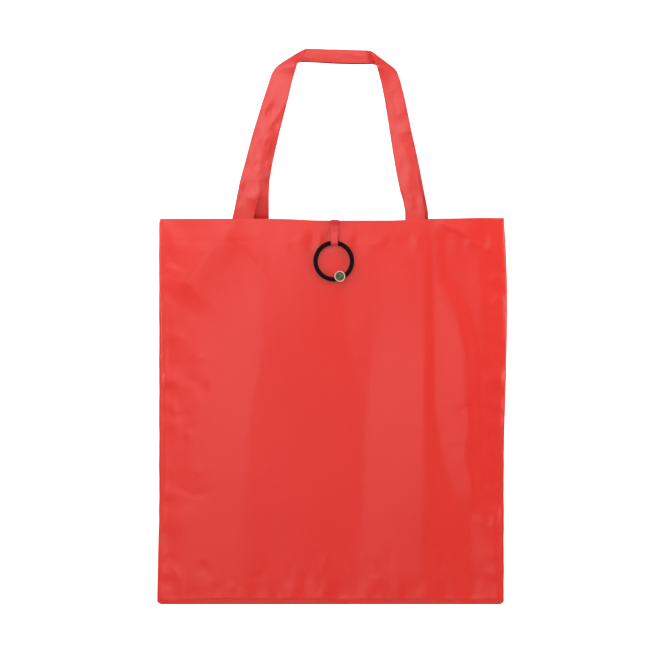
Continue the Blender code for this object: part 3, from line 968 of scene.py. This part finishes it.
def inlay_material():
    material, tree, shader = new_material("button_inlay")
    vector = add_node(tree, "ShaderNodeTexCoord").outputs["Object"]
    grains = noise(tree, vector, 900.0, 3.0, 0.7)
    patches = noise(tree, vector, 380.0, 2.0)
    tone = weighted(tree, grains, 0.6, patches, 0.4)
    levels = {"Value": tone, "From Min": 0.38, "From Max": 0.62}
    patchy = add_node(tree, "ShaderNodeMapRange", levels).outputs["Result"]
    colour = mix_colours(tree, patchy, (0.022, 0.034, 0.012, 1), (0.17, 0.18, 0.085, 1))
    tree.links.new(colour, shader.inputs["Base Color"])
    shader.inputs["Roughness"].default_value = 0.5
    shader.inputs["Specular IOR Level"].default_value = 0.25
    tree.links.new(bump(tree, grains, 0.6, 0.0002), shader.inputs["Normal"])
    return material


def elastic_material():
    material, tree, shader = new_material("elastic")
    vector = add_node(tree, "ShaderNodeTexCoord").outputs["Object"]
    fibres = noise(tree, vector, 2600.0, 3.0)
    colour = mix_colours(tree, fibres, (0.002, 0.0007, 0.0006, 1), (0.007, 0.0022, 0.0018, 1))
    tree.links.new(colour, shader.inputs["Base Color"])
    shader.inputs["Roughness"].default_value = 0.6
    shader.inputs["Specular IOR Level"].default_value = 0.10
    tree.links.new(bump(tree, fibres, 0.3, 0.0001), shader.inputs["Normal"])
    return material


# --------------------------------------------------------------------------- studio

SURROUND = 0.37
FLOOR_BELOW = 0.28
BACKDROP_Y = 4.9
BACKDROP_TURN = 1.2
BACKDROP_HALF_WIDTH = 4.0


def area_light(name, place, target, size, power):
    data = bpy.data.lights.new(name, "AREA")
    data.shape = "RECTANGLE"
    data.size, data.size_y = size
    data.energy = power
    light = bpy.data.objects.new(name, data)
    light.location = place
    light.rotation_euler = (Vector(target) - Vector(place)).to_track_quat("-Z", "Y").to_euler()
    bpy.context.scene.collection.objects.link(light)


def make_studio():
    middle = (0.0, 0.0, RIM - 0.20)
    aim = (0, 0, RIM - 0.08)
    area_light("left_softbox", (-0.50, -4.3, RIM + 0.10), (-0.50, 0, RIM + 0.10), (0.34, 1.5), 8.8)
    area_light("left_fill", (-2.0, -3.4, RIM), middle, (2.2, 2.2), 4.4)
    area_light("key_softbox", (-0.25, -0.92, RIM + 0.50), aim, (1.3, 0.62), 3.7)
    area_light("left_strip", (-0.76, -0.36, RIM + 0.08), aim, (0.35, 0.60), 2.2)
    area_light("right_strip", (0.76, -0.36, RIM + 0.08), aim, (0.35, 0.60), 3.0)
    area_light("top_softbox", (0.0, -0.5, RIM + 1.1), middle, (1.4, 0.6), 3.0)
    bpy.context.scene.view_settings.view_transform = "Standard"
    make_world()
    make_sweep()


def make_world():
    """An even white surrounding."""
    world = bpy.data.worlds.new("studio")
    world.use_nodes = True
    background = world.node_tree.nodes["Background"]
    background.inputs["Color"].default_value = (1, 1, 1, 1)
    background.inputs["Strength"].default_value = SURROUND
    bpy.context.scene.world = world


def make_sweep():
    """A pale floor that turns up into a backdrop far behind, brighter away from the bag."""
    floor = RIM - BAG_HEIGHT - FLOOR_BELOW
    back, turn = BACKDROP_Y, BACKDROP_TURN
    section = [(-0.4, floor), (0.0, floor), (0.9, floor), (back - turn, floor)]
    for step in range(1, 13):
        a = math.pi / 2 * step / 12
        section.append((back - turn + turn * math.sin(a), floor + turn - turn * math.cos(a)))
    section.append((back, floor + 3.6))
    sides = (-BACKDROP_HALF_WIDTH, BACKDROP_HALF_WIDTH)
    points = np.array([[(x, y, z) for y, z in section] for x in sides])
    flat = points[..., :2]
    material, tree, shader = new_material("studio_paper")
    vector = add_node(tree, "ShaderNodeTexCoord").outputs["Object"]
    grain = noise(tree, vector, 60.0, 3.0)
    colour = mix_colours(tree, grain, (0.90, 0.90, 0.90, 1), (0.93, 0.93, 0.93, 1))
    tree.links.new(colour, shader.inputs["Base Color"])
    shader.inputs["Roughness"].default_value = 0.9
    shader.inputs["Emission Color"].default_value = (1, 1, 1, 1)
    away = add_node(tree, "ShaderNodeSeparateXYZ", {0: vector}).outputs["Y"]
    levels = {"Value": away, "From Min": 0.4, "From Max": 2.0, "To Min": 0.0, "To Max": 0.95}
    glow = add_node(tree, "ShaderNodeMapRange", levels).outputs["Result"]
    tree.links.new(glow, shader.inputs["Emission Strength"])
    sweep = grid_piece("studio_sweep", points, flat, material)


# --------------------------------------------------------------------------- assembly

make_camera()

bag_cloth = woven_material("bag_cloth", (0.78, 0.017, 0.008, 1), (0.84, 0.024, 0.013, 1), 0.30)
strap_cloth = woven_material(
    "strap_cloth", (0.74, 0.016, 0.008, 1), (0.80, 0.024, 0.014, 1), 0.34,
    crinkle=0.2, sheen=0.05, specular=0.9,
)
ribbon_cloth = woven_material(
    "ribbon", (0.70, 0.030, 0.028, 1), (0.75, 0.044, 0.042, 1), 0.5,
    pitch=0.6 * MM, crinkle=0.05, specular=0.5,
)
thread_cloth = woven_material(
    "thread", (0.72, 0.030, 0.022, 1), (0.80, 0.045, 0.035, 1), 0.5,
    pitch=0.3 * MM, crinkle=0.05,
)
bronze = metal_material("button_metal", (0.92, 0.82, 0.62, 1), 0.34, 0.4)

make_cord(elastic_material())
make_sleeve(bronze)
make_panels(bag_cloth, thread_cloth)
make_side_seam("left", -1, bag_cloth)
make_side_seam("right", 1, bag_cloth)
make_bottom_seam(bag_cloth)
make_handle("front", -1, FRONT_STRAP, 5, strap_cloth, thread_cloth)
make_handle("rear", 1, REAR_STRAP, 23, strap_cloth, thread_cloth)
make_tab(ribbon_cloth)
make_cup(bronze)
make_inlay(inlay_material())
make_back_plate(bronze)
make_studio()
